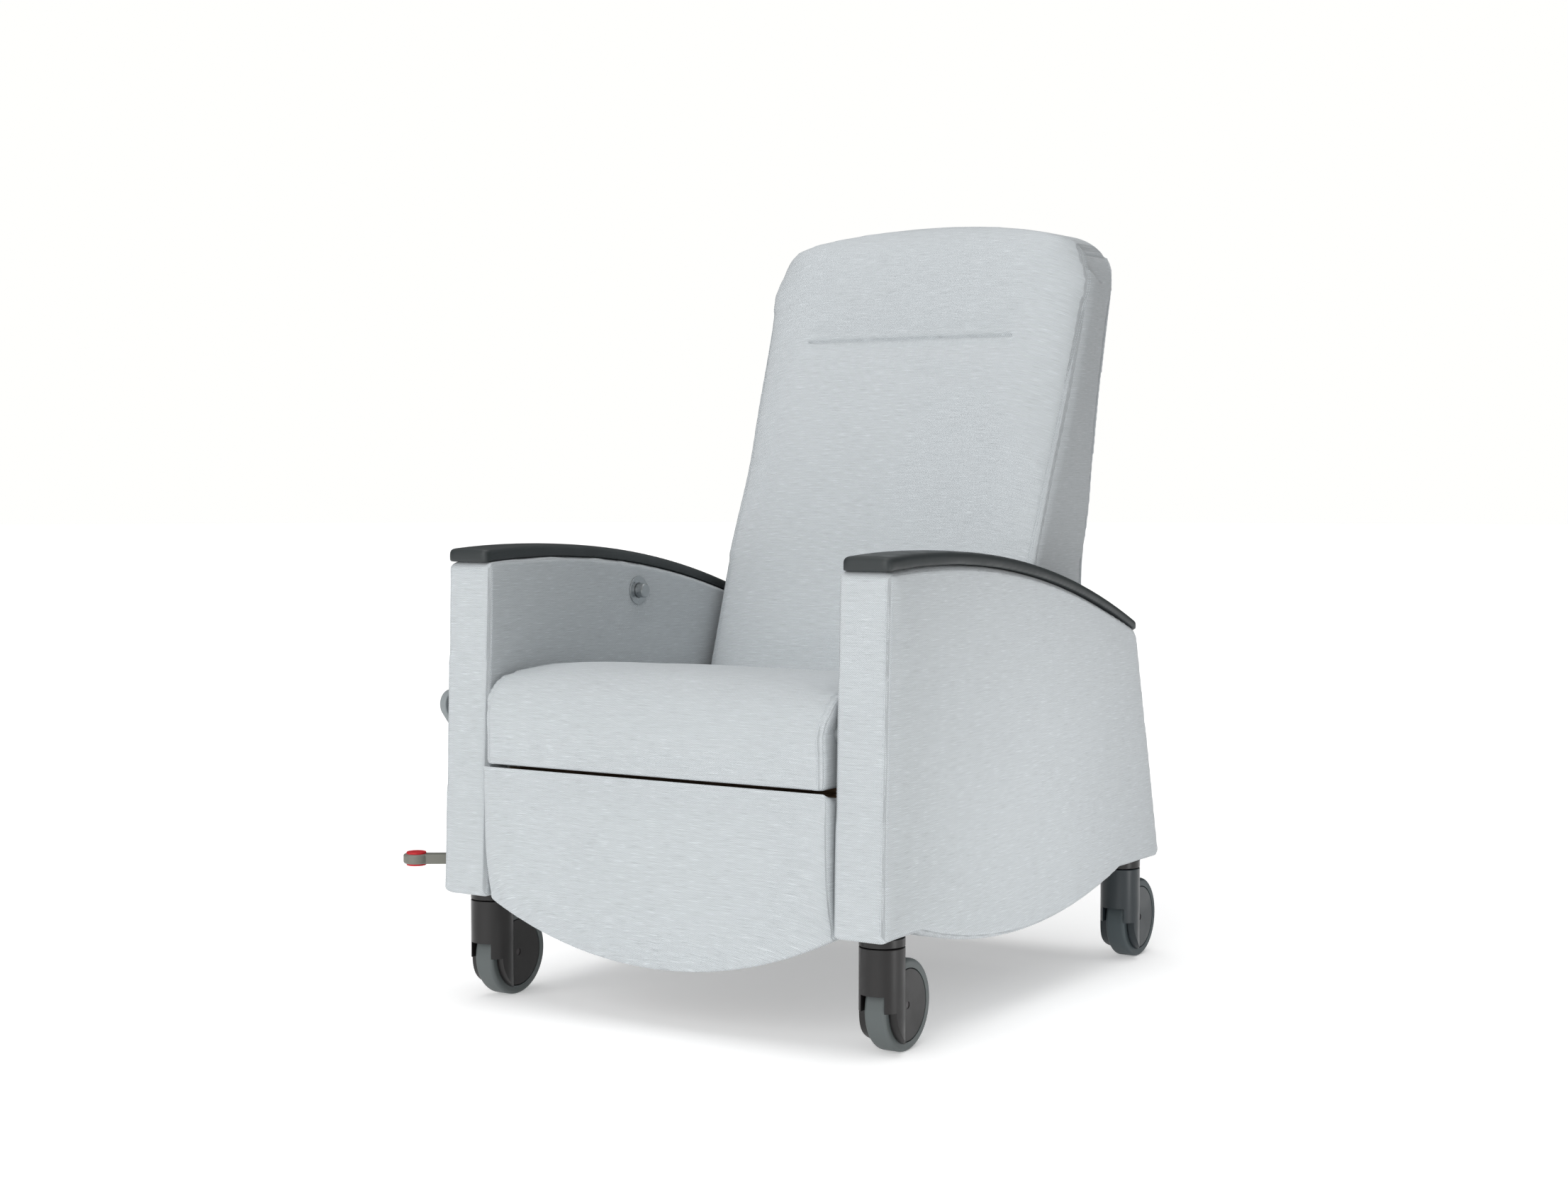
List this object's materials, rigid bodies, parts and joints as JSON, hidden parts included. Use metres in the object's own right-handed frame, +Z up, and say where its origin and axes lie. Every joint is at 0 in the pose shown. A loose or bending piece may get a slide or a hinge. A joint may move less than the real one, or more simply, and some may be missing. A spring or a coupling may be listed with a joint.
{
  "type": "patient recliner chair",
  "caption": "Upholstered patient recliner on swivel casters, with curved dark arm caps, a reclining back, a lift-up leg rest, a push button, a side lever and a foot brake pedal.",
  "frame": {"origin": "on the floor, at the centre of the four caster swivel axes, in the chair's middle plane", "axes": "+X to the sitter's left, +Y to the rear, +Z up; the arms, seat and back are symmetric about X = 0"},
  "size_m": [0.8285, 0.9335, 1.177],
  "materials": {
    "arm_fabric": "matte",
    "seat_fabric": "matte",
    "back_fabric": "matte",
    "legrest_fabric": "matte",
    "rear_fabric": "matte",
    "arm_cap_polyurethane": "satin",
    "frame_paint": "satin",
    "hardwood": "matte",
    "bracket_paint": "satin",
    "bright_steel": "satin",
    "spring_steel": "satin",
    "caster_plastic": "satin",
    "caster_plastic_slate": "satin",
    "bush_plastic": "matte",
    "button_steel": "satin",
    "webbing": "matte",
    "cylinder_paint": "gloss",
    "rod_chrome": "polished",
    "lever_plastic": "satin",
    "pedal_plastic": "satin",
    "pedal_rubber": "matte",
    "hub_plastic": "satin",
    "tyre_grey": "matte",
    "tyre_slate": "matte"
  },
  "bodies": {
    "root": {"arm_cap_left": "arm_cap_polyurethane", "arm_cap_right": "arm_cap_polyurethane", "arm_cover_left": "arm_fabric", "arm_cover_right": "arm_fabric", "back_pivot_bushes": "bush_plastic", "brake_bush": "bush_plastic", "button_bezel": "button_steel", "button_sleeve": "bush_plastic", "cap_screws": "bright_steel", "caster_collars": "caster_plastic", "caster_stems": "bright_steel", "cross_tubes": "frame_paint", "legrest_pivot_pins": "bright_steel", "lever_bush": "bush_plastic", "rear_valance": "rear_fabric", "seat_brackets": "frame_paint", "seat_cushion": "seat_fabric", "seat_frame": "hardwood", "seat_springs": "spring_steel", "side_frame_left": "frame_paint", "side_frame_right": "frame_paint", "spring_anchor": "frame_paint"},
    "back": {"back_frame": "frame_paint", "back_webbing": "webbing", "back_cushion": "back_fabric", "back_rear_panel": "rear_fabric", "back_pivot_shaft": "bright_steel", "recline_crank": "frame_paint"},
    "gas_spring_cylinder": {"recline_cylinder": "cylinder_paint"},
    "gas_spring_rod": {"recline_rod": "rod_chrome"},
    "push_button": {"recline_button": "button_steel"},
    "legrest": {"legrest_board": "hardwood", "legrest_pad": "legrest_fabric", "legrest_brackets": "bracket_paint", "legrest_screws": "bright_steel"},
    "release_lever": {"legrest_lever": "lever_plastic", "lever_shaft": "bright_steel"},
    "pedal": {"brake_pedal": "pedal_plastic", "pedal_pads": "pedal_rubber", "front_brake_bar": "bright_steel", "front_brake_cams": "bright_steel"},
    "rear_bar": {"rear_brake_bar": "bright_steel", "rear_brake_cams": "bright_steel"},
    "link": {"brake_link": "bright_steel"},
    "caster_front_left": {"caster_housing_front_left": "caster_plastic", "caster_axle_front_left": "bright_steel"},
    "wheel_front_left": {"wheel_hub_front_left": "hub_plastic", "tyre_front_left": "tyre_grey"},
    "caster_front_right": {"caster_housing_front_right": "caster_plastic", "caster_axle_front_right": "bright_steel"},
    "wheel_front_right": {"wheel_hub_front_right": "hub_plastic", "tyre_front_right": "tyre_grey"},
    "caster_rear_left": {"caster_housing_rear_left": "caster_plastic_slate", "caster_axle_rear_left": "bright_steel"},
    "wheel_rear_left": {"wheel_hub_rear_left": "hub_plastic", "tyre_rear_left": "tyre_slate"},
    "caster_rear_right": {"caster_housing_rear_right": "caster_plastic_slate", "caster_axle_rear_right": "bright_steel"},
    "wheel_rear_right": {"wheel_hub_rear_right": "hub_plastic", "tyre_rear_right": "tyre_slate"}
  },
  "joints": [
    {"name": "back_recline", "type": "hinge", "parent": "root", "child": "back", "pos_m": [0, 0.157, 0.4], "axis": [-1, 0, 0], "range_deg": [0, 45]},
    {"name": "gas_spring_swing", "type": "hinge", "parent": "root", "child": "gas_spring_cylinder", "pos_m": [0, -0.19, 0.29], "axis": [-1, 0, 0], "range_deg": [0, 2.4]},
    {"name": "gas_spring_stroke", "type": "slide", "parent": "gas_spring_cylinder", "child": "gas_spring_rod", "axis": [0, 0.9968, 0.0799], "range_m": [-0.0725, 0]},
    {"name": "legrest_raise", "type": "hinge", "parent": "root", "child": "legrest", "pos_m": [0, -0.412, 0.43], "axis": [-1, 0, 0], "range_deg": [0, 85]},
    {"name": "recline_button_press", "type": "slide", "parent": "root", "child": "push_button", "axis": [-1, 0, 0], "range_m": [0, 0.006], "stiffness_N_per_m": 400},
    {"name": "legrest_lever_pull", "type": "hinge", "parent": "root", "child": "release_lever", "pos_m": [-0.3725, -0.316, 0.338], "axis": [-1, 0, 0], "range_deg": [0, 35], "stiffness_Nm_per_rad": 1.5},
    {"name": "brake_pedal_press", "type": "hinge", "parent": "root", "child": "pedal", "pos_m": [0, -0.3776, 0.2], "axis": [1, 0, 0], "range_deg": [-25, 25]},
    {"name": "rear_brake_turn", "type": "hinge", "parent": "root", "child": "rear_bar", "pos_m": [0, 0.3776, 0.2], "axis": [1, 0, 0], "range_deg": [-25.2, 25.2]},
    {"name": "brake_link_travel", "type": "slide", "parent": "root", "child": "link", "axis": [0, 1, 0], "range_m": [-0.0088, 0.0088]},
    {"name": "swivel_front_left", "type": "hinge", "parent": "root", "child": "caster_front_left", "pos_m": [0.3317, -0.3776, 0.1475], "axis": [0, 0, 1], "continuous": true},
    {"name": "roll_front_left", "type": "hinge", "parent": "caster_front_left", "child": "wheel_front_left", "pos_m": [0.3317, -0.3366, 0.0625], "axis": [1, 0, 0], "continuous": true},
    {"name": "swivel_front_right", "type": "hinge", "parent": "root", "child": "caster_front_right", "pos_m": [-0.3317, -0.3776, 0.1475], "axis": [0, 0, 1], "continuous": true},
    {"name": "roll_front_right", "type": "hinge", "parent": "caster_front_right", "child": "wheel_front_right", "pos_m": [-0.3317, -0.3366, 0.0625], "axis": [1, 0, 0], "continuous": true},
    {"name": "swivel_rear_left", "type": "hinge", "parent": "root", "child": "caster_rear_left", "pos_m": [0.3317, 0.3776, 0.1475], "axis": [0, 0, 1], "continuous": true},
    {"name": "roll_rear_left", "type": "hinge", "parent": "caster_rear_left", "child": "wheel_rear_left", "pos_m": [0.3317, 0.4186, 0.0625], "axis": [1, 0, 0], "continuous": true},
    {"name": "swivel_rear_right", "type": "hinge", "parent": "root", "child": "caster_rear_right", "pos_m": [-0.3317, 0.3776, 0.1475], "axis": [0, 0, 1], "continuous": true},
    {"name": "roll_rear_right", "type": "hinge", "parent": "caster_rear_right", "child": "wheel_rear_right", "pos_m": [-0.3317, 0.4186, 0.0625], "axis": [1, 0, 0], "continuous": true}
  ],
  "couplings": [
    {"joint": "gas_spring_swing", "follows": "back_recline", "ratio": 0.053},
    {"joint": "gas_spring_stroke", "follows": "back_recline", "m_per_rad": -0.09155},
    {"joint": "rear_brake_turn", "follows": "brake_pedal_press", "ratio": 1},
    {"joint": "brake_link_travel", "follows": "brake_pedal_press", "m_per_rad": 0.02}
  ]
}
